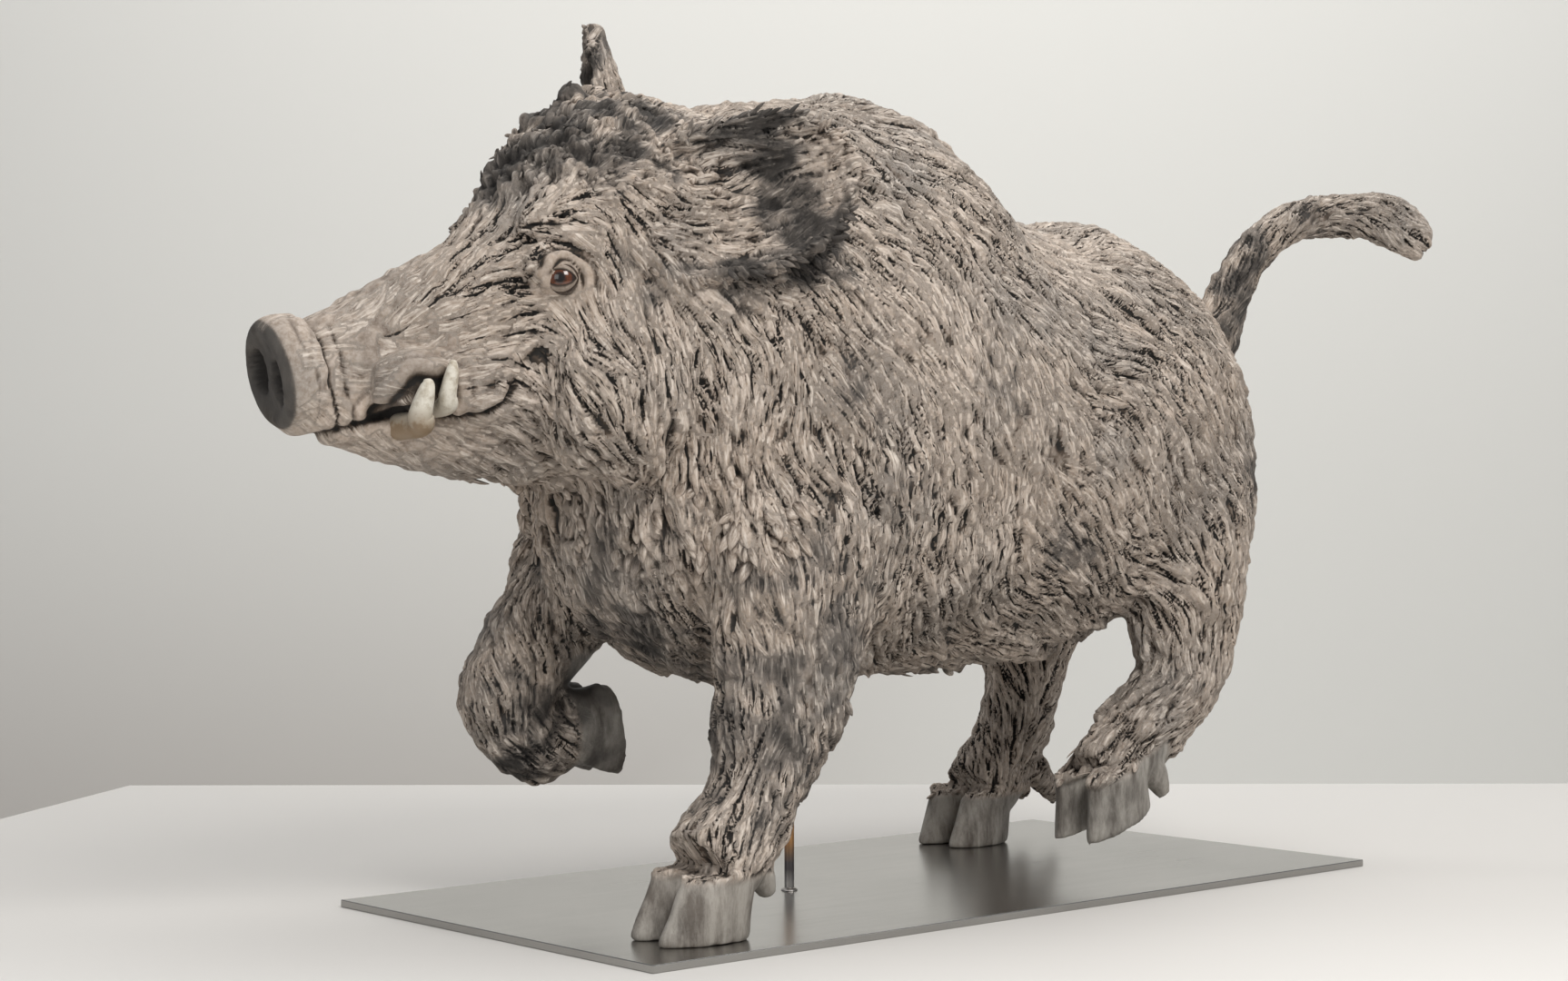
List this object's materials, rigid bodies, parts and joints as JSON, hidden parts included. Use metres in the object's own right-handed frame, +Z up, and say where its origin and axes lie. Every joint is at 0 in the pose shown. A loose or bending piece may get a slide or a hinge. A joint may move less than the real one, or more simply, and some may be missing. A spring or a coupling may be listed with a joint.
{
  "type": "ceramic boar sculpture",
  "caption": "Sculpture of a trotting wild boar in rough smoke-fired clay, with glass eyes, held over a thin steel plate by its hooves and a steel rod",
  "frame": {"origin": "centre of the steel plate's underside", "axes": "+Z up, -X the way the boar faces, -Y the boar's left side"},
  "size_m": [1.2611, 0.4, 0.7092],
  "materials": {
    "fired_clay": "dry, unglazed smoke-fired stoneware, warm grey with charcoal patches, scored all over with hair",
    "eye_glass": "glossy amber eye with a black pupil",
    "plate_steel": "satin rolled steel with bright cut edges",
    "rod_steel": "steel rod with copper-coloured heat tint, welded at its foot"
  },
  "bodies": {
    "root": {"boar": "fired_clay", "left_eye": "eye_glass", "right_eye": "eye_glass", "base_plate": "plate_steel", "support_rod": "rod_steel"}
  },
  "joints": []
}
